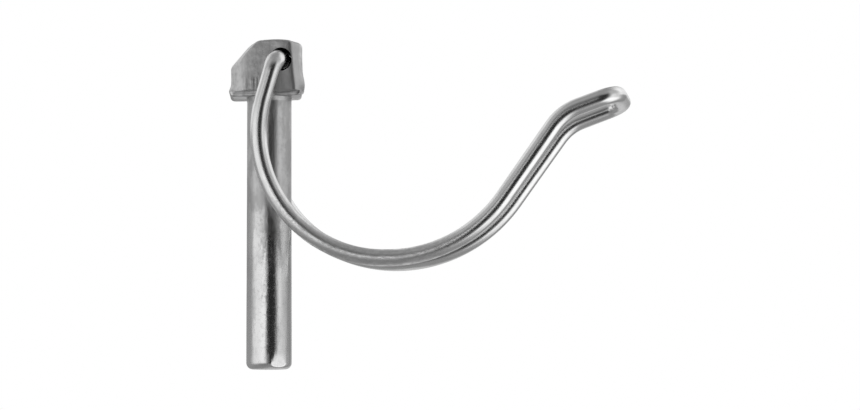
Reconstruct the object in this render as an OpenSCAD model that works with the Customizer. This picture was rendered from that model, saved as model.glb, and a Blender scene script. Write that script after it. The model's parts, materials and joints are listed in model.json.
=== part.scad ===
// Hitch pin lock: a headed lock pin with a sprung wire bail that swings over its tip.
// The pin stands upright: +Z runs up the shank to the head, the origin is the middle of
// the seat under the head, and the bail lies towards +X.

/* [Pin] */
// Diameter of the shank
shank_d = 9.525; // [9.3:0.025:9.6]
// Length of the shank under the head
shank_len = 57.9; // [52:0.05:60]
// Radius of the rounded edge at the tip
tip_round = 1.4; // [0.6:0.1:2]

/* [Head] */
// Height of the whole head above the seat
head_h = 12.3; // [12.1:0.05:13]
// Overhang of the head on the side away from the bail
head_left = 8.3; // [8.1:0.1:8.6]
// Overhang of the head on the bail's side
head_right = 7.2; // [7:0.1:7.6]
// Thickness of the collar that seats on the hitch
collar_h = 1.45; // [1.3:0.05:2.2]
// Depth of the collar, front to back
collar_depth = 9.2; // [8.8:0.1:9.4]
// Thickness of the flattened tab above the collar
tab_depth = 8.0; // [7:0.1:8.6]
// Diameter of the cross hole
hole_d = 4.76; // [4.7:0.02:5]

/* [Bail] */
// Diameter of the spring wire
wire_d = 3.57; // [3.4:0.01:3.6]
// Distance between the centre lines of the two limbs
limb_gap = 14.8; // [14.8:0.1:16]
// Distance of the hinge axis from the shank's axis
pivot_x = 2.8; // [2.6:0.1:3]
// Height of the hinge axis above the seat
pivot_z = 7.9; // [7.75:0.05:8.05]
// Inward length of each wire end, from the limb's centre line
end_len = 6.6; // [5.6:0.1:6.8]
// Bend radius where a limb turns into the hole
end_bend = 2.4; // [2.2:0.1:3]
// Bend radius at the corners of the closed end
corner_bend = 3.6; // [3:0.1:4.4]

/* [Hidden] */
$fn = 96;

shank_r = shank_d / 2;
wire_r = wire_d / 2;
// Bends swell by this much over the drawn wire, and the straights run this far into them
bend_swell = 0.02;
bend_lap = 0.05;
limb_y = limb_gap / 2;
tip_steps = 8;

// The cross hole is wider than the wire, which lies near the hole's side away from the bail
hole_x = pivot_x + 0.43;
hole_z = pivot_z + 0.07;

// Where the tab's flat front meets its slanted sides
flat_left = 5.1;
flat_right = 6;
// Slanted shoulder of the tab: a point on its ridge, its slope, and how far the flat lies inside it
shoulder = [-7.7, 7.5];
shoulder_slope = 48.7;
shoulder_inset = 1.9;

// Direction in which each limb leaves the hinge, in degrees from +X towards +Z
front_heading = -106.4;
rear_heading = -112;
// Bends of each limb in order: straight length before it, radius, and turn (positive is
// anticlockwise). The wire is bent by hand, and the rear limb runs a little wider.
front_bends = [
    [8.6, 27, 106.2],
    [1, 29.7, 54.8],
    [17.7, 10.8, -35.3]
];
rear_bends = [
    [7.5, 25.7, 89.8],
    [1, 30.8, 76.1],
    [16.7, 10.2, -34.1]
];
// Length from the last bend of each limb to the closed end's centre line
front_last = 8.5;
rear_last = 9.7;

// Side view of the head, anticlockwise from the seat's corner on the bail's side
head_outline = [
    [head_right - 0.7, 0],
    [head_right - 0.1, 0.5],
    [head_right + 0.2, 1.7],
    [head_right + 0.3, 3.4],
    [head_right - 0.1, 6.6],
    [head_right - 0.2, head_h - 1.5],
    [head_right - 0.5, head_h - 0.7],
    [head_right - 1.3, head_h - 0.3],
    [3.8, head_h - 0.05],
    [0.6, head_h],
    [-2.2, head_h - 0.15],
    [-3.8, head_h - 0.5],
    [-8, 7.1],
    [-head_left, 5.6],
    [-head_left - 0.1, 4.2],
    [-head_left - 0.4, 2.2],
    [-head_left - 0.3, 1],
    [-head_left, 0.3],
    [-head_left + 0.4, 0]
];

function unit(v) = v / norm(v);
function heading(a) = [cos(a), 0, sin(a)];
function turn(a, b) = acos(unit(a) * unit(b));
function tangent_len(bend) = bend[1] * tan(abs(bend[2]) / 2);
function heading_after(bends, i, a) = i < 0 ? a : heading_after(bends, i - 1, a) + bends[i][2];

// Corner i of a limb: the point where the straight lines on both sides of bend i would meet
function limb_corner(bends, i, start, a) =
    let (before = i == 0 ? start : limb_corner(bends, i - 1, start, a),
         run = bends[i][0] + tangent_len(bends[i]) + (i == 0 ? 0 : tangent_len(bends[i - 1])))
    before + run * heading(heading_after(bends, i - 1, a));

// All corners of a limb, from the inner end of the wire to the closed end
function limb_corners(side, a, bends, last_run) =
    let (start = [pivot_x, side * limb_y, pivot_z],
         last = len(bends) - 1)
    [
        start - [0, side * end_len, 0],
        start,
        for (i = [0:last]) limb_corner(bends, i, start, a),
        limb_corner(bends, last, start, a)
            + (tangent_len(bends[last]) + last_run) * heading(heading_after(bends, last, a))
    ];

function limb_radii(bends) = concat([0, end_bend], [for (bend = bends) bend[1]], [corner_bend]);
function reversed(list) = [for (i = [len(list) - 1:-1:0]) list[i]];

front_limb = limb_corners(-1, front_heading, front_bends, front_last);
rear_limb = limb_corners(1, rear_heading, rear_bends, rear_last);
wire_corners = concat(front_limb, reversed(rear_limb));
wire_radii = concat(limb_radii(front_bends), reversed(limb_radii(rear_bends)));

// Moves its children to a point, with their X and Y axes along two given directions
module place(at, x, y) {
    z = cross(x, y);
    multmatrix([
        [x[0], y[0], z[0], at[0]],
        [x[1], y[1], z[1], at[1]],
        [x[2], y[2], z[2], at[2]]
    ]) children();
}

// Round wire through a list of corners, each bent to its own radius
module bent_wire(corners, radii) {
    last = len(corners) - 1;
    ways = [for (i = [0:last - 1]) unit(corners[i + 1] - corners[i])];
    turns = [for (i = [0:last]) i == 0 || i == last ? 0 : turn(ways[i - 1], ways[i])];
    trims = [for (i = [0:last]) radii[i] * tan(turns[i] / 2)];
    for (i = [0:last - 1]) {
        lap_in = i == 0 ? 0 : bend_lap;
        lap_out = i == last - 1 ? 0 : bend_lap;
        run = norm(corners[i + 1] - corners[i]) - trims[i] - trims[i + 1] + lap_in + lap_out;
        side = unit(cross(ways[i], abs(ways[i][1]) > 0.9 ? [1, 0, 0] : [0, 1, 0]));
        place(corners[i] + (trims[i] - lap_in) * ways[i], side, cross(ways[i], side))
            cylinder(h = run, r = wire_r);
    }
    for (i = [1:last - 1]) {
        inward = unit(ways[i] - ways[i - 1] * cos(turns[i]));
        start = corners[i] - trims[i] * ways[i - 1];
        place(start + radii[i] * inward, -inward, ways[i - 1])
            rotate_extrude(angle = turns[i])
                translate([radii[i], 0])
                    circle(r = wire_r + bend_swell);
    }
}

// Prism of a side-view outline, centred on the plane between the limbs
module side_prism(depth) {
    rotate([90, 0, 0])
        linear_extrude(height = depth, center = true)
            children();
}

// Shank with a rounded edge at its tip, and a blunt cone that fades into the collar
module shank() {
    arc_x = shank_r - tip_round;
    arc_z = tip_round - shank_len;
    rotate_extrude()
        polygon(concat(
            [[0, -shank_len]],
            [for (i = [0:tip_steps])
                let (a = -90 + 90 * i / tip_steps)
                [arc_x + tip_round * cos(a), arc_z + tip_round * sin(a)]],
            [[shank_r, 0], [shank_r - 0.6, 1.2], [0, 1.2]]
        ));
}

module collar() {
    corner = 1.2;
    y = collar_depth / 2;
    left = -head_left - 0.6;
    right = head_right + 0.5;
    intersection() {
        side_prism(collar_depth + 1) polygon(head_outline);
        linear_extrude(height = collar_h)
            polygon([
                [left, y - corner - 0.5], [left, corner + 0.5 - y], [left + corner + 0.5, -y],
                [right - corner - 0.5, -y], [right, corner + 0.5 - y], [right, y - corner - 0.5],
                [right - corner - 0.5, y], [left + corner + 0.5, y]
            ]);
    }
}

// Flattened tab: slanted sides that meet in a ridge half way back, and a slanted shoulder
module tab() {
    y = tab_depth / 2;
    intersection() {
        side_prism(tab_depth + 1) polygon(head_outline);
        linear_extrude(height = head_h + 1)
            polygon([
                [-head_left - 0.3, 0], [-flat_left, -y], [flat_right, -y],
                [head_right + 0.3, 0], [flat_right, y], [-flat_left, y]
            ]);
        translate([shoulder[0], 0, shoulder[1]])
            rotate([0, -shoulder_slope, 0])
                rotate([90, 0, 90])
                    linear_extrude(height = 60, center = true)
                        polygon([
                            [0, 0.1], [-y, -shoulder_inset], [-y, -30], [y, -30], [y, -shoulder_inset]
                        ]);
    }
}

module lock_pin() {
    color("silver")
        difference() {
            union() {
                shank();
                collar();
                tab();
            }
            translate([hole_x, 0, hole_z])
                rotate([90, 0, 0])
                    cylinder(h = 3 * collar_depth, d = hole_d, center = true);
        }
}

module wire_bail() {
    color("lightgray")
        bent_wire(wire_corners, wire_radii);
}

lock_pin();
wire_bail();
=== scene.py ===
import json
import math

import bmesh
import bpy
import numpy as np
from mathutils import Matrix, Vector, noise


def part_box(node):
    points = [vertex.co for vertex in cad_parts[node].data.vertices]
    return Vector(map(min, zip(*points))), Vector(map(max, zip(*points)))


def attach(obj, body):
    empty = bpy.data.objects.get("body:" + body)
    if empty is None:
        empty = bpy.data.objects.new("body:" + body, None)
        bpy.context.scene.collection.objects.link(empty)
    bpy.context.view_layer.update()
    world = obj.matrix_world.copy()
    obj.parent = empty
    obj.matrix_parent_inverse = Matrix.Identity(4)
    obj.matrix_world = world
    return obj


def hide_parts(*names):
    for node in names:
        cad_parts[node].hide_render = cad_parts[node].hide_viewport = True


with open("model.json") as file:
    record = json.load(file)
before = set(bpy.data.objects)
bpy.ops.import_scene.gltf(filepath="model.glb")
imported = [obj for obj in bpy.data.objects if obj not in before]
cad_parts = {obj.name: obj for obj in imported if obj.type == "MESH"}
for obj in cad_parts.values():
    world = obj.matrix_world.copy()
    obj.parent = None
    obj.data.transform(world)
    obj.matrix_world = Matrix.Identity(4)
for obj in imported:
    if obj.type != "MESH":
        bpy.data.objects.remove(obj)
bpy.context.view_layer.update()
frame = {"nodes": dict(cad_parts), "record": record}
print("frame loaded:", ", ".join(sorted(frame["nodes"])))

mm = 0.001  # the shapes below are worked out in millimetres, as on the drawing
scene = bpy.context.scene
record = frame["record"]
hinge = record["behaviour"]["joints"][0]["pos_m"]
shankMount = record["mounts"][0]
pinLow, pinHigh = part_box("lock_pin")
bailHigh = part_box("wire_bail")[1]


# a long lens, looking slightly up at the part
camera = {
    "target": (34.7, 0.0, -23.45),  # mm, the middle of pin and bail
    "azimuth": 8.8,
    "elevation": -4.7,
    "roll": -0.2,
    "distance": 600.0,
    "lens": 118.8,
}


def makeCamera(look):
    azimuth = math.radians(look["azimuth"])
    elevation = math.radians(look["elevation"])
    roll = math.radians(look["roll"])
    back = Vector((math.sin(azimuth) * math.cos(elevation),
                   -math.cos(azimuth) * math.cos(elevation),
                   math.sin(elevation)))
    right = Vector((math.cos(azimuth), math.sin(azimuth), 0.0))
    up = back.cross(right)
    tiltedRight = right * math.cos(roll) + up * math.sin(roll)
    tiltedUp = up * math.cos(roll) - right * math.sin(roll)
    data = bpy.data.cameras.new("camera")
    data.lens = look["lens"]
    data.sensor_width = 36.0
    data.clip_start = 0.01
    data.clip_end = 20.0
    holder = bpy.data.objects.new("camera", data)
    scene.collection.objects.link(holder)
    turn = Matrix((tiltedRight, tiltedUp, back)).transposed().to_4x4()
    place = Vector(look["target"]) * mm + back * look["distance"] * mm
    holder.matrix_world = Matrix.Translation(place) @ turn
    scene.camera = holder


makeCamera(camera)
scene.view_settings.view_transform = "Standard"
print("camera placed")


# a shader socket that can stand in a sum
class Field:
    def __init__(self, recipe, socket):
        self.recipe = recipe
        self.socket = socket

    def combine(self, operation, a, b):
        return self.recipe.add("ShaderNodeMath", {"operation": operation}, {0: a, 1: b})

    def __add__(self, other):
        return self.combine("ADD", self, other)

    __radd__ = __add__

    def __sub__(self, other):
        return self.combine("SUBTRACT", self, other)

    def __rsub__(self, other):
        return self.combine("SUBTRACT", other, self)

    def __mul__(self, other):
        return self.combine("MULTIPLY", self, other)

    __rmul__ = __mul__


# the nodes of one material or of the world
class Recipe:
    def __init__(self, owner):
        owner.use_nodes = True
        self.tree = owner.node_tree
        self.tree.nodes.clear()

    def add(self, kind, settings=None, sockets=None, out=0):
        node = self.tree.nodes.new(kind)
        for key, value in (settings or {}).items():
            setattr(node, key, value)
        for key, value in (sockets or {}).items():
            if isinstance(value, Field):
                self.tree.links.new(value.socket, node.inputs[key])
            else:
                node.inputs[key].default_value = value
        return Field(self, node.outputs[out]) if node.outputs else None

    # 0 below low, 1 above high, smooth between
    def ease(self, value, low, high):
        return self.add("ShaderNodeMapRange",
                        {"interpolation_type": "SMOOTHSTEP"},
                        {"Value": value, "From Min": low, "From Max": high})

    def noise(self, where, scale, detail, roughness, stretch=None):
        if stretch:
            where = self.add("ShaderNodeVectorMath", {"operation": "MULTIPLY"},
                             {0: where, 1: stretch})
        return self.add("ShaderNodeTexNoise", None,
                        {"Vector": where, "Scale": scale, "Detail": detail,
                         "Roughness": roughness})

    def mixColor(self, factor, a, b):
        return self.add("ShaderNodeMix", {"data_type": "RGBA"},
                        {"Factor": factor, 6: a, 7: b}, 2)

    # one of a vector's three numbers
    def along(self, vector, axis):
        return self.add("ShaderNodeSeparateXYZ", None, {0: vector}, axis)


def grey(shade):
    return (shade, shade, shade, 1.0)


studio = {
    "base": 0.27,          # brightness of the plain cloth
    "brightest": 1.6,      # nothing in the tent is brighter
    "tentRadius": 600.0,   # mm
    "tentCentre": (0.0, 0.0, -25.0),
    "floorLevel": -100.0,  # mm, below the pin and below the camera
    "floorSize": 8.0,      # m
    "floorShade": 0.85,
    "sky": 0.8,            # light on the floor and the dull surfaces
    # lit cloths round the part: azimuth and elevation in degrees as the part sees them,
    # how softly the left, right, lower and upper edges fade, and brightness over the base
    "cloths": [
        {"az": (-80, -1), "el": (-22, 15), "soft": (12, 6, 14, 8), "level": 0.62},
        {"az": (-34, -3), "el": (-9, 12), "soft": (12, 5, 7, 6), "level": 0.16},
        {"az": (-110, -24), "el": (15, 62), "soft": (14, 12, 8, 14), "level": 0.14},
        {"az": (-150, -92), "el": (-40, 40), "soft": (14, 14, 14, 14), "level": 0.04},
        {"az": (-172, -86), "el": (8, 60), "soft": (6, 10, 3, 14), "level": 0.42},
        {"az": (100, 165), "el": (8, 60), "soft": (14, 10, 3, 14), "level": 0.56},
        {"az": (55, 108), "el": (-15, 22), "soft": (8, 16, 8, 10), "level": 0.36},
        {"az": (57, 76), "el": (-15, 16), "soft": (5, 8, 8, 8), "level": 0.16},
        {"az": (37, 112), "el": (-50, -15), "soft": (8, 16, 9, 9), "level": 0.85},
        {"az": (48, 122), "el": (22, 62), "soft": (10, 14, 8, 14), "level": 0.16},
    ],
    # black flags that keep the light off: where, and how much they take away
    "flags": [
        {"az": (-1, 46), "el": (-34, 34), "soft": (6, 7, 8, 12), "level": 0.93},
        {"az": (-26, 10), "el": (9, 42), "soft": (8, 8, 4, 10), "level": 0.42},
        {"az": (-30, 10), "el": (9, 20), "soft": (8, 8, 3, 5), "level": 0.62},
        {"az": (-42, 2), "el": (-62, -16), "soft": (14, 6, 8, 6), "level": 0.2},
    ],
    # a glow behind the part: it rises over az and fades over el
    "back": {"az": (150, 172), "el": (15, 40), "level": 0.30},
}


# a round tent of lit cloth that only the metal's reflections see
def makeTent(light):
    shape = bmesh.new()
    bmesh.ops.create_icosphere(shape, subdivisions=5, radius=light["tentRadius"] * mm)
    data = bpy.data.meshes.new("tent")
    shape.to_mesh(data)
    shape.free()
    tent = bpy.data.objects.new("tent", data)
    tent.location = Vector(light["tentCentre"]) * mm
    scene.collection.objects.link(tent)
    tent.visible_camera = False
    tent.visible_diffuse = False
    tent.visible_shadow = False
    tent.visible_transmission = False
    cloth = bpy.data.materials.new("tentCloth")
    room = Recipe(cloth)
    way = room.add("ShaderNodeVectorMath", {"operation": "NORMALIZE"},
                   {0: room.add("ShaderNodeTexCoord", None, None, "Object")})
    x, y, z = [room.along(way, axis) for axis in range(3)]
    degrees = 180.0 / math.pi
    azimuth = room.add("ShaderNodeMath", {"operation": "ARCTAN2"}, {0: x, 1: 0.0 - y}) * degrees
    elevation = room.add("ShaderNodeMath", {"operation": "ARCSINE"}, {0: z}) * degrees

    def window(value, span, softs):
        rise = room.ease(value, span[0] - softs[0], span[0] + softs[0])
        fall = room.ease(value, span[1] - softs[1], span[1] + softs[1])
        return rise * (1.0 - fall)

    def patch(panel):
        across = window(azimuth, panel["az"], panel["soft"][:2])
        upright = window(elevation, panel["el"], panel["soft"][2:])
        return across * upright * panel["level"]

    level = patch(light["cloths"][0]) + light["base"]
    for panel in light["cloths"][1:]:
        level = level + patch(panel)
    for flag in light["flags"]:
        level = level * (1.0 - patch(flag))
    turned = room.add("ShaderNodeMath", {"operation": "ABSOLUTE"}, {0: azimuth})
    back = light["back"]
    behind = room.ease(turned, *back["az"]) * (1.0 - room.ease(elevation, *back["el"]))
    level = level + behind * back["level"]
    shade = room.mixColor(level * (1.0 / light["brightest"]), grey(0.0), grey(1.0))
    glow = room.add("ShaderNodeEmission", None, {"Color": shade, "Strength": light["brightest"]})
    room.add("ShaderNodeOutputMaterial", None, {"Surface": glow})
    data.materials.append(cloth)


def makeWorld(light):
    world = bpy.data.worlds.new("studio")
    scene.world = world
    room = Recipe(world)
    seen = room.add("ShaderNodeLightPath", None, None, "Is Camera Ray")
    shown = room.mixColor(seen, grey(light["sky"]), grey(1.0))
    background = room.add("ShaderNodeBackground", None, {"Color": shown})
    room.add("ShaderNodeOutputWorld", None, {"Surface": background})


def makeFloor(light):
    half = light["floorSize"] / 2.0
    z = light["floorLevel"] * mm
    shape = bmesh.new()
    corners = ((-half, -half), (half, -half), (half, half), (-half, half))
    shape.faces.new([shape.verts.new((x, y, z)) for x, y in corners])
    data = bpy.data.meshes.new("floor")
    shape.to_mesh(data)
    shape.free()
    floor = bpy.data.objects.new("floor", data)
    scene.collection.objects.link(floor)
    floor.visible_glossy = False
    paint = bpy.data.materials.new("paleFloor")
    mix = Recipe(paint)
    surface = mix.add("ShaderNodeBsdfPrincipled", None,
                      {"Base Color": grey(light["floorShade"]), "Roughness": 0.9})
    mix.add("ShaderNodeOutputMaterial", None, {"Surface": surface})
    data.materials.append(paint)


makeWorld(studio)
makeTent(studio)
makeFloor(studio)
print("studio lit")


# bright zinc on the forged pin, cloudy and scuffed
zinc = {
    "light": 0.84,
    "dull": 0.55,
    "roughness": 0.20,
    # how fine each pattern is, per metre, and how far it is drawn out up the shank
    "clouds": (150.0, 0.5),
    "scuffs": (620.0, 0.25),
    "flakes": (1300.0, 1.0),
    "waves": (420.0, 0.45),
    "scratches": (2600.0, 0.04),
    "grain": (2400.0, 0.5),
    # heights in metres over which the finish changes; above the first, the shank's colour is darkened
    # towards the head as painted shade under the head and the bail, and it grows rougher
    "shadedAndDullAbove": (-0.033, -0.019),
    "cloudyAbove": (-0.047, -0.030),
    "rubbedBelow": (-0.0536, -0.0555),
    "headAbove": (0.0, 0.0016),
    "relief": 0.00006,
}


def makeZincPlate(look):
    material = bpy.data.materials.new("zincPlate")
    mix = Recipe(material)
    where = mix.add("ShaderNodeTexCoord", None, None, "Object")

    def pattern(name, detail, roughness):
        scale, drawn = look[name]
        return mix.noise(where, scale, detail, roughness, (1.0, 1.0, drawn))

    clouds = pattern("clouds", 4.0, 0.6)
    scuffs = pattern("scuffs", 4.0, 0.65)
    flakes = pattern("flakes", 3.0, 0.65)
    waves = pattern("waves", 2.0, 0.5)
    scratches = pattern("scratches", 2.0, 0.6)
    grain = pattern("grain", 2.0, 0.5)
    height = mix.along(where, 2)
    upperShadeAndDull = mix.ease(height, *look["shadedAndDullAbove"])
    middle = mix.ease(height, *look["cloudyAbove"])
    rubbed = mix.ease(height, *look["rubbedBelow"])
    head = mix.ease(height, *look["headAbove"])
    cloudy = mix.ease(clouds, 0.42, 0.60)
    scuffed = mix.ease(scuffs, 0.48, 0.68)
    flaked = mix.ease(flakes, 0.50, 0.66)
    scratched = mix.ease(scratches, 0.52, 0.68)
    # the plate dulls in clouds, is darkened up the shank as painted shade under the head and the bail, and
    # is rubbed bright at the tip
    dulled = cloudy * (middle * 0.5 + 0.26) + scuffed * 0.28 + flaked * 0.20 + upperShadeAndDull * 0.42
    dulled = dulled * (1.0 - rubbed) - head * 0.1
    shade = mix.mixColor(dulled, grey(look["light"]), grey(look["dull"]))
    rough = look["roughness"] + cloudy * 0.06 + scuffed * 0.10 + flaked * 0.08
    rough = rough + scratched * 0.06 + upperShadeAndDull * 0.10 + head * 0.06
    relief = waves * 1.1 + scuffs * 0.6 + grain * 0.15 + flakes * 0.4 + scratches * 0.12
    normal = mix.add("ShaderNodeBump", None,
                     {"Strength": 0.8, "Distance": look["relief"], "Height": relief})
    surface = mix.add("ShaderNodeBsdfPrincipled", None,
                      {"Base Color": shade, "Metallic": 1.0, "Roughness": rough, "Normal": normal})
    mix.add("ShaderNodeOutputMaterial", None, {"Surface": surface})
    return material


# painted shade: near-black, mottled steel inside the cross hole, coloured dark to stand for the shade deep
# in the hole
boreShadeFinish = {
    "light": 0.05,
    "dark": 0.02,
    "shadeAndDirt": 900.0,  # per metre
    "roughness": 0.45,
}


def makeBoreShade(look):
    material = bpy.data.materials.new("paintedBoreShade")
    mix = Recipe(material)
    where = mix.add("ShaderNodeTexCoord", None, None, "Object")
    shadeAndDirt = mix.ease(mix.noise(where, look["shadeAndDirt"], 3.0, 0.6), 0.35, 0.65)
    shade = mix.mixColor(shadeAndDirt, grey(look["light"]), grey(look["dark"]))
    rough = shadeAndDirt * 0.2 + look["roughness"]
    surface = mix.add("ShaderNodeBsdfPrincipled", None,
                      {"Base Color": shade, "Metallic": 0.6, "Roughness": rough})
    mix.add("ShaderNodeOutputMaterial", None, {"Surface": surface})
    return material


# drawn wire: its patterns follow the wire as if it were straight, in millimetres
wireFinish = {
    "light": 0.95,
    "dull": 0.76,
    # the near-black colour below is painted shade for the wire's ends inside the hole
    "shadeAndDirt": 0.04,
    "roughness": 0.22,
    "bowStart": (26.0, 48.0),  # along the wire, where the bow's duller plate sets in
    "bowEnd": (70.0, 88.0),    # and where it fades out
    "holeShadeBelow": (2.9, 4.0),  # from either end, inside the hole
    "relief": 0.00004,
}


def makeDrawnWire(look):
    material = bpy.data.materials.new("drawnZincWire")
    mix = Recipe(material)
    where = mix.add("ShaderNodeAttribute", {"attribute_name": "straightened"}, None, "Vector")
    fromEnd = mix.add("ShaderNodeAttribute", {"attribute_name": "fromEnd"}, None, "Fac")
    lines = mix.noise(where, 3.2, 3.0, 0.6, (0.06, 1.0, 1.0))
    clouds = mix.noise(where, 0.35, 3.0, 0.6, (0.6, 1.0, 1.0))
    grain = mix.noise(where, 6.0, 2.0, 0.5, (0.5, 1.0, 1.0))
    specks = mix.noise(where, 1.5, 3.0, 0.7, (0.5, 1.0, 1.0))
    # the plate is duller where the bow was bent round the former
    travelled = mix.along(where, 0)
    frontBow = mix.ease(travelled, *look["bowStart"]) * (1.0 - mix.ease(travelled, *look["bowEnd"]))
    speckled = mix.ease(specks, 0.46, 0.58) * frontBow
    lined = mix.ease(lines, 0.45, 0.75)
    cloudy = mix.ease(clouds, 0.4, 0.7)
    # painted shade: near either end, inside the hole, the wire's colour goes near black for the shade deep
    # in the hole
    holeShade = 1.0 - mix.ease(fromEnd, *look["holeShadeBelow"])
    dulled = lined * 0.3 + cloudy * 0.35 + frontBow * 0.3 + speckled * 0.9
    plated = mix.mixColor(dulled, grey(look["light"]), grey(look["dull"]))
    shade = mix.mixColor(holeShade, plated, grey(look["shadeAndDirt"]))
    rough = look["roughness"] + lined * 0.04 + cloudy * 0.05 + frontBow * 0.06 + speckled * 0.1
    relief = lines * 0.6 + grain * 0.4 + frontBow * specks * 3.5
    normal = mix.add("ShaderNodeBump", None,
                     {"Strength": 0.35, "Distance": look["relief"], "Height": relief})
    surface = mix.add("ShaderNodeBsdfPrincipled", None,
                      {"Base Color": shade, "Metallic": 1.0, "Roughness": rough, "Normal": normal})
    mix.add("ShaderNodeOutputMaterial", None, {"Surface": surface})
    return material


def meshObject(name, points, faces, material):
    data = bpy.data.meshes.new(name)
    data.from_pydata((np.asarray(points) * mm).tolist(), [], faces)
    data.validate()
    data.materials.append(material)
    data.polygons.foreach_set("use_smooth", [True] * len(data.polygons))
    piece = bpy.data.objects.new(name, data)
    scene.collection.objects.link(piece)
    return piece


# quads between closed rings of equal length, and a fan at each end
def skin(ringCount, around):
    faces = []
    for i in range(ringCount - 1):
        for j in range(around):
            k = (j + 1) % around
            faces.append((i * around + j, i * around + k, (i + 1) * around + k, (i + 1) * around + j))
    first = ringCount * around
    last = (ringCount - 1) * around
    for j in range(around):
        k = (j + 1) % around
        faces.append((first, k, j))
        faces.append((first + 1, last + j, last + k))
    return faces


# the bail, bent from one length of spring wire
wireRadius = 1.785
bail = {
    "limbY": bailHigh[1] / mm - wireRadius - 0.02,  # the CAD bends are 0.02 fuller
    "pivot": (hinge[0] / mm, hinge[2] / mm),
    "endLength": 6.6,
    "endBend": 2.8,
    "cornerBend": 3.6,
    # each limb: its heading out of the hinge, then straight, radius and turn of every bend
    "front": {
        "heading": -106.4,
        "bends": [(8.6, 27.0, 106.2), (1.0, 29.7, 54.8), (17.7, 10.8, -35.3)],
        "last": 8.5,
    },
    "rear": {
        "heading": -112.0,
        "bends": [(7.5, 25.7, 89.8), (1.0, 30.8, 76.1), (16.7, 10.2, -34.1)],
        "last": 9.7,
    },
    "squeeze": 0.15,  # how much wider the wire is pressed where its ends turn inward
    "squeezeAt": 6.0,
    "squeezeRun": 1.5,
    "uneven": 0.012,  # ripple left by the drawing die
    "around": 48,
    "step": 0.45,
}


def limbCorners(spec, side, limb):
    x, z = spec["pivot"]
    heading = limb["heading"]
    y = side * spec["limbY"]
    corners = [(x, y - side * spec["endLength"], z), (x, y, z)]
    carried = 0.0
    for straight, radius, turn in limb["bends"]:
        cut = radius * math.tan(math.radians(abs(turn)) / 2.0)
        run = carried + straight + cut
        x += run * math.cos(math.radians(heading))
        z += run * math.sin(math.radians(heading))
        corners.append((x, y, z))
        heading += turn
        carried = cut
    run = carried + limb["last"]
    corners.append((x + run * math.cos(math.radians(heading)), y,
                    z + run * math.sin(math.radians(heading))))
    return [np.array(corner) for corner in corners]


# centre line of a wire through its corners, each rounded to its own radius
def wirePath(corners, radii, step):
    ways = [b - a for a, b in zip(corners, corners[1:])]
    ways = [way / np.linalg.norm(way) for way in ways]
    path = [corners[0]]
    for i in range(1, len(corners) - 1):
        before, after, radius = ways[i - 1], ways[i], radii[i]
        turn = math.acos(float(np.clip(before @ after, -1.0, 1.0)))
        cut = radius * math.tan(turn / 2.0)
        start = corners[i] - cut * before
        run = np.linalg.norm(start - path[-1])
        for k in range(1, max(2, int(run / step))):
            path.append(path[-1] + (start - path[-1]) / (max(2, int(run / step)) - k + 1))
        inward = after - before * math.cos(turn)
        inward /= np.linalg.norm(inward)
        centre = start + radius * inward
        count = max(6, int(radius * turn / step))
        for k in range(count + 1):
            angle = turn * k / count
            path.append(centre - radius * inward * math.cos(angle) + radius * before * math.sin(angle))
    end = corners[-1]
    count = max(2, int(np.linalg.norm(end - path[-1]) / step))
    start = path[-1]
    for k in range(1, count + 1):
        path.append(start + (end - start) * k / count)
    return np.array(path)


# how thick the wire is at one point round it
def wireReach(spec, travelled, fromEnd, angle):
    squeezed = math.exp(-((fromEnd - spec["squeezeAt"]) / spec["squeezeRun"]) ** 2)
    reach = wireRadius * (1.0 + spec["squeeze"] * squeezed * abs(math.cos(angle)) ** 2)
    spot = Vector((travelled * 0.11, math.cos(angle) * 0.8, math.sin(angle) * 0.8))
    return reach + spec["uneven"] * noise.noise(spot)


def makeBail(spec, material):
    corners, radii = [], []
    for side, limb in ((-1.0, spec["front"]), (1.0, spec["rear"])):
        bends = [bend[1] for bend in limb["bends"]]
        corners.append(limbCorners(spec, side, limb))
        radii.append([0.0, spec["endBend"]] + bends + [spec["cornerBend"]])
    path = wirePath(corners[0] + corners[1][::-1], radii[0] + radii[1][::-1], spec["step"])
    ways = np.gradient(path, axis=0)
    ways /= np.linalg.norm(ways, axis=1)[:, None]
    runs = np.linalg.norm(np.diff(path, axis=0), axis=1)
    travelled = np.concatenate([[0.0], np.cumsum(runs)])
    last = len(path) - 1
    # ring by ring: place on the path, share of the radius, and shift along the wire
    rings = [(0, 0.62, 0.0), (0, 0.9, 0.0), (0, 1.0, 0.12)]
    rings += [(i, 1.0, 0.0) for i in range(1, last)]
    rings += [(last, 1.0, -0.12), (last, 0.9, 0.0), (last, 0.62, 0.0)]
    angles = np.arange(spec["around"]) * 2.0 * math.pi / spec["around"]
    side = np.cross(ways[0], (0.0, 0.0, 1.0))
    points, straightened, ends = [], [], []
    for i, share, shift in rings:
        side = side - ways[i] * (side @ ways[i])
        side /= np.linalg.norm(side)
        over = np.cross(ways[i], side)
        centre = path[i] + ways[i] * shift
        fromEnd = min(travelled[i], travelled[last] - travelled[i])
        for angle in angles:
            reach = wireRadius * share
            if share == 1.0:
                reach = wireReach(spec, travelled[i], fromEnd, angle)
            points.append(centre + reach * (side * math.cos(angle) + over * math.sin(angle)))
            straightened.append((travelled[i], wireRadius * math.cos(angle), wireRadius * math.sin(angle)))
            ends.append(fromEnd)
    points += [path[0], path[last]]
    straightened += [(0.0, 0.0, 0.0), (travelled[last], 0.0, 0.0)]
    ends += [0.0, 0.0]
    piece = meshObject("bail_wire", points, skin(len(rings), spec["around"]), material)
    layer = piece.data.attributes.new("straightened", "FLOAT_VECTOR", "POINT")
    layer.data.foreach_set("vector", np.array(straightened, np.float32).ravel())
    layer = piece.data.attributes.new("fromEnd", "FLOAT", "POINT")
    layer.data.foreach_set("value", np.array(ends, np.float32))
    return piece


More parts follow.
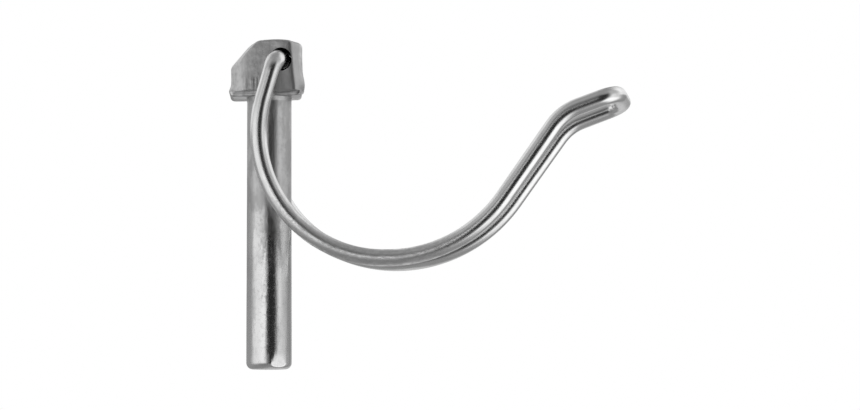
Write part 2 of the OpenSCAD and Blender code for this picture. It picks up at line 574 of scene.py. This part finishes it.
# the pin, forged in one piece with its collar and tab
pin = {
    "radius": shankMount["dims"]["r_mm"],
    "length": -pinLow[2] / mm,
    "thinTop": 0.006,      # share of the radius that the shank lacks under the collar
    "thickTip": 0.018,     # and how much of it comes back towards the tip
    "tipRound": 1.4,
    "seatFillet": 0.14,
    "sideFillet": 0.34,    # the fillet is fuller at the front, on the bail's side
    "around": 288,
    "ledge": 1.2,          # top of the collar at the front
    "collarHalf": 4.63,    # half depth of the collar, front to back
    "collarDraft": 0.022,
    "collarRound": 0.3,    # its broken lower edge
    # the dies sat a little askew, so the collar's ends lean in plan
    "leanLeft": (0.9, -0.9),
    "leanRight": (0.6, -1.1),
    # how far the head reaches to each side, with a bulge at the tab's foot
    "left": {"reach": 8.3, "bulge": 0.47, "bulgeAt": 1.9, "bulgeRun": 1.7},
    "right": {"reach": 7.05, "bulge": 0.55, "bulgeAt": 2.9, "bulgeRun": 2.1},
    "tabHalf": 4.2,        # half depth of the tab at its foot
    "draft": 0.055,        # how fast the tab thins towards its top
    "ridgeLeft": 0.36,     # how far the side ridges stand out before they are rounded
    "ridgeRight": 0.34,
    "flatLeft": 5.1,
    "flatRight": 6.6,      # at the ledge
    "flatLean": 0.115,     # how fast the right facet widens going up
    "top": pinHigh[2] / mm - 0.05,
    "crownAt": 1.5,
    "crownFall": 0.02,
    "shoulder": (-7.7, 7.5),
    "shoulderSlope": 1.138,
    "shoulderFacets": 0.62,
    # where the cross hole opens at the front and the rear, from the hinge: the drill wandered
    "holeFront": (0.43, 0.07),
    "holeRear": (-0.2, -0.4),
    "holeRadius": 2.38,
    "holeTaper": 0.13,     # how much narrower the hole is at the rear
    "wornWay": 38.0,       # degrees from the front, where the tip is rubbed flat
    "wornTilt": 9.5,       # slope of that flat
    "wornTop": -54.7,      # where it starts
}


def smoothStep(value, low, high):
    t = np.clip((value - low) / (high - low), 0.0, 1.0)
    return t * t * (3.0 - 2.0 * t)


def softMax(a, b, width):
    h = np.clip(0.5 + 0.5 * (a - b) / width, 0.0, 1.0)
    return b * (1.0 - h) + a * h + width * h * (1.0 - h)


# reach from the axis to the nearest of several walls, with corners rounded by sharpness
def reachTo(walls, angles, sharpness):
    total = np.zeros_like(angles)
    for wayX, wayY, distance in walls:
        facing = np.maximum(0.0, wayX * np.cos(angles) + wayY * np.sin(angles))
        total += (facing / distance) ** sharpness
    return total ** (-1.0 / sharpness)


# wall through two points of a plan view, as a direction and a distance from the axis
def wallThrough(ax, ay, bx, by):
    wayX, wayY = by - ay, ax - bx
    size = np.hypot(wayX, wayY)
    distance = (wayX * ax + wayY * ay) / size
    flip = np.where(distance < 0.0, -1.0, 1.0)
    return flip * wayX / size, flip * wayY / size, flip * distance


def sideReach(side, z):
    tuck = 0.35 * np.maximum(0.0, 1.0 - z / 0.6) ** 2
    bulge = side["bulge"] * np.exp(-((z - side["bulgeAt"]) / side["bulgeRun"]) ** 2)
    return side["reach"] + bulge - tuck


def seatFlare(spec, angles):
    facing = smoothStep(np.cos(angles), 0.0, 0.35) * smoothStep(-np.sin(angles), 0.1, 0.45)
    return spec["sideFillet"] * facing


def collarReach(spec, z, angles):
    y = spec["collarHalf"] - spec["collarDraft"] * z
    left, right = sideReach(spec["left"], z), sideReach(spec["right"], z)
    walls = [(0.0, 1.0, y), (0.0, -1.0, y)]
    near, far = spec["leanLeft"]
    walls.append(wallThrough(near - left, -y, far - left, y))
    near, far = spec["leanRight"]
    walls.append(wallThrough(right + near, -y, right + far, y))
    # the shank's own round swells out through the collar's front and back
    swell = 4.86 + 0.1 * smoothStep(z, -0.1, 0.6)
    swell = swell + seatFlare(spec, angles) * (1.0 - smoothStep(z, 0.2, 1.0))
    return softMax(reachTo(walls, angles, 20.0), swell, 0.2)


def tabReach(spec, z, angles):
    y = spec["tabHalf"] - spec["draft"] * (z - spec["ledge"])
    flatRight = spec["flatRight"] - spec["flatLean"] * (z - spec["ledge"])
    left, right = sideReach(spec["left"], z), sideReach(spec["right"], z)
    walls = [(0.0, 1.0, y), (0.0, -1.0, y)]
    for side in (-1.0, 1.0):
        walls.append(wallThrough(-left - spec["ridgeLeft"], 0.0, -spec["flatLeft"], side * y))
        walls.append(wallThrough(right + spec["ridgeRight"], 0.0, flatRight, side * y))
    return reachTo(walls, angles, 20.0)


# height of the tab's top: a shallow crown, cut by the slanted shoulder with its two facets
def topHeight(spec, x, y):
    crown = spec["top"] - spec["crownFall"] * (x - spec["crownAt"]) ** 2
    foot, height = spec["shoulder"]
    facets = spec["shoulderFacets"] * (np.sqrt(y * y + 0.3) - 0.55)
    shoulder = height + spec["shoulderSlope"] * (x - foot) - facets
    blend = 0.9
    h = np.clip(0.5 + 0.5 * (crown - shoulder) / blend, 0.0, 1.0)
    return crown * (1.0 - h) + shoulder * h - blend * h * (1.0 - h)


def ringAt(angles, reach, z):
    level = z * np.ones_like(angles)
    return np.stack([reach * np.cos(angles), reach * np.sin(angles), level], 1)


def shankRadius(spec, z):
    swell = spec["thickTip"] * smoothStep(-z, 10.0, spec["length"])
    return spec["radius"] * (1.0 - spec["thinTop"] + swell)


# the shank with the fillet that leads into the seat
def shankFoot(spec, z, angles):
    fillet = spec["seatFillet"] + seatFlare(spec, angles)
    return shankRadius(spec, z) + fillet * smoothStep(z, -1.0, 0.3)


def shankRings(spec, angles):
    length, edge = spec["length"], spec["tipRound"]
    inner = shankRadius(spec, edge - length) - edge
    rings = [ringAt(angles, inner * share, -length) for share in (0.25, 0.5, 0.75, 0.95)]
    for k in range(13):
        turn = math.radians(-90.0 + 90.0 * k / 12)
        rings.append(ringAt(angles, inner + edge * math.cos(turn), edge - length + edge * math.sin(turn)))
    for z in np.linspace(edge - length, -1.0, 57)[1:]:
        rings.append(ringAt(angles, shankRadius(spec, z), z))
    for z in np.linspace(-1.0, 0.0, 8)[1:]:
        rings.append(ringAt(angles, shankFoot(spec, z, angles), z))
    return rings


# the ledge runs lower at the front on the bail's side
def ledgeHeight(spec, angles):
    front = smoothStep(-np.sin(angles), 0.2, 0.8)
    side = smoothStep(np.cos(angles), -0.35, 0.1) * (1.0 - smoothStep(np.cos(angles), 0.72, 0.9))
    return spec["ledge"] - 0.5 * front * side


def collarRings(spec, angles):
    edge = spec["collarRound"]
    start = shankFoot(spec, 0.0, angles)
    least = start + 0.02
    foot = np.maximum(collarReach(spec, 0.0, angles) - edge, least)
    rings = []
    for share in (0.05, 0.3, 0.6, 0.9, 1.0):
        rings.append(ringAt(angles, start + (foot - start) * share, 0.004 * share))
    for k in range(1, 6):
        turn = math.radians(90.0 * k / 5)
        z = edge * (1.0 - math.cos(turn))
        reach = collarReach(spec, z, angles) - edge * (1.0 - math.sin(turn))
        rings.append(ringAt(angles, np.maximum(reach, least), z + 0.006))
    ledge = ledgeHeight(spec, angles)
    for share in np.linspace(0.0, 1.0, 7)[1:]:
        z = 0.31 + share * (ledge - 0.45)
        rings.append(ringAt(angles, collarReach(spec, z, angles), z))
    # over the ledge, the collar passes into the tab
    for k in range(1, 8):
        share = k / 7.0
        z = ledge - 0.14 + 0.34 * share
        mixed = smoothStep(share, 0.0, 1.0)
        reach = collarReach(spec, z, angles) * (1.0 - mixed) + tabReach(spec, z, angles) * mixed
        rings.append(ringAt(angles, reach, z))
    return rings


# the tab, up to a rounded rim and the crown
def tabRings(spec, angles):
    cosines, sines = np.cos(angles), np.sin(angles)
    base = ledgeHeight(spec, angles) + 0.2
    rim = 0.45 + 0.5 * smoothStep(cosines, 0.7, 0.95)
    rings = []
    for k in range(1, 49):
        share = k / 48.0
        reach = tabReach(spec, base + share * (spec["top"] - 1.0 - base), angles)
        top = topHeight(spec, reach * cosines, reach * sines) - rim
        rings.append(ringAt(angles, reach, base + share * (top - base)))
    for k in range(1, 9):
        turn = math.radians(90.0 * k / 8)
        inset = reach - rim * (1.0 - math.cos(turn))
        top = topHeight(spec, inset * cosines, inset * sines) - rim
        rings.append(ringAt(angles, inset, top + rim * math.sin(turn)))
    for k in range(1, 30):
        shrunk = inset * (1.0 - k / 30.0)
        rings.append(ringAt(angles, shrunk, topHeight(spec, shrunk * cosines, shrunk * sines)))
    return rings


# what the forging dies left: shallow unevenness, and upright drag marks at the tab's lower left
def dieMarks(x, y, z):
    place = Vector((x, y, z))
    bumps = 0.05 * noise.noise(place * 0.38) + 0.02 * noise.noise(place * 1.1)
    upright = smoothStep(z, 1.2, 1.8) * (1.0 - smoothStep(z, 3.4, 4.6))
    across = 1.0 - smoothStep(abs(x + 3.2), 1.6, 2.6)
    coarse = noise.noise(Vector((x * 1.9, 3.0, z * 0.12)))
    fine = noise.noise(Vector((x * 4.3, 7.0, z * 0.2)))
    return bumps + 0.07 * upright * across * (coarse + 0.5 * fine)


# a slanted plane rubbed onto the shank beside the tip: its direction and distance
def wornPlane(spec):
    way, tilt = math.radians(spec["wornWay"]), math.radians(spec["wornTilt"])
    facing = np.array((math.sin(way) * math.cos(tilt), -math.cos(way) * math.cos(tilt), -math.sin(tilt)))
    swollen = (1.0 - spec["thinTop"] + spec["thickTip"]) * spec["radius"]
    return facing, swollen * math.cos(tilt) - spec["wornTop"] * math.sin(tilt)


def makePin(spec, material, boreShadeMaterial):
    angles = np.arange(spec["around"]) * 2.0 * math.pi / spec["around"]
    rings = shankRings(spec, angles) + collarRings(spec, angles) + tabRings(spec, angles)
    peak = float(topHeight(spec, np.array(0.0), np.array(0.0)))
    ends = np.array([(0.0, 0.0, -spec["length"]), (0.0, 0.0, peak)])
    points = np.concatenate(rings + [ends])
    wornWay, wornReach = wornPlane(spec)
    for i, (x, y, z) in enumerate(points):
        outward = np.array((x, y, 0.0)) / max(1.0, math.hypot(x, y))
        if z > spec["ledge"] and abs(y) > 2.5:
            outward = np.array((0.0, math.copysign(1.0, y), 0.0))
        forged = smoothStep(z, 0.6, 1.6)
        if forged > 0.0:
            points[i] += outward * forged * dieMarks(x, y, z)
        elif z < -0.5:
            points[i] += outward * 0.006 * noise.noise(Vector((x, y, z * 0.4)) * 0.5)
            points[i] -= wornWay * max(0.0, float(points[i] @ wornWay) - wornReach)
    piece = meshObject("forged_pin", points, skin(len(rings), spec["around"]), material)
    drillHole(piece, spec, boreShadeMaterial)
    piece.data.set_sharp_from_angle(angle=math.radians(38.0))
    return piece


# cross hole with slightly broken edges, cut by a spool shaped drill
def drillHole(piece, spec, boreShadeMaterial):
    pivot = np.array((hinge[0] / mm, hinge[2] / mm))
    front, rear = pivot + spec["holeFront"], pivot + spec["holeRear"]
    middle, lean = (front + rear) / 2.0, (rear - front) / 7.4  # across the tab's depth
    around = 96
    # half of the drill's outline, from outside inwards: y and radius
    profile = [(-9.0, 2.85), (-4.2, 2.85), (-3.9, 2.52), (-3.74, 2.41), (-3.6, spec["holeRadius"])]
    profile += [(-y, radius) for y, radius in reversed(profile)]
    points = []
    for y, radius in profile:
        x, z = middle + lean * y
        radius -= spec["holeTaper"] * float(smoothStep(y, -2.0, 2.0))
        for j in range(around):
            angle = 2.0 * math.pi * j / around
            points.append((x + radius * math.cos(angle), y, z - radius * math.sin(angle)))
    for y in (profile[0][0], profile[-1][0]):
        x, z = middle + lean * y
        points.append((x, y, z))
    # the drill carries the painted shade material, which passes to the walls of the hole
    drill = meshObject("drill", points, skin(len(profile), around), boreShadeMaterial)
    cut = piece.modifiers.new("hole", "BOOLEAN")
    cut.operation = "DIFFERENCE"
    cut.solver = "EXACT"
    cut.material_mode = "TRANSFER"
    cut.object = drill
    bpy.context.view_layer.update()
    cutPiece = piece.evaluated_get(bpy.context.evaluated_depsgraph_get())
    finished = bpy.data.meshes.new_from_object(cutPiece)
    piece.modifiers.clear()
    old = piece.data
    piece.data = finished
    finished.name = "forged_pin"
    bpy.data.meshes.remove(old)
    bpy.data.objects.remove(drill)


zincPlate = makeZincPlate(zinc)
# near-black bore material: painted shade for the inside of the cross hole
paintedBoreShade = makeBoreShade(boreShadeFinish)
drawnWire = makeDrawnWire(wireFinish)

forgedPin = makePin(pin, zincPlate, paintedBoreShade)
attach(forgedPin, "pin")
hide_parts("lock_pin")
print("pin made:", len(forgedPin.data.polygons), "faces")

wireBail = makeBail(bail, drawnWire)
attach(wireBail, "bail")
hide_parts("wire_bail")
print("bail made:", len(wireBail.data.polygons), "faces")
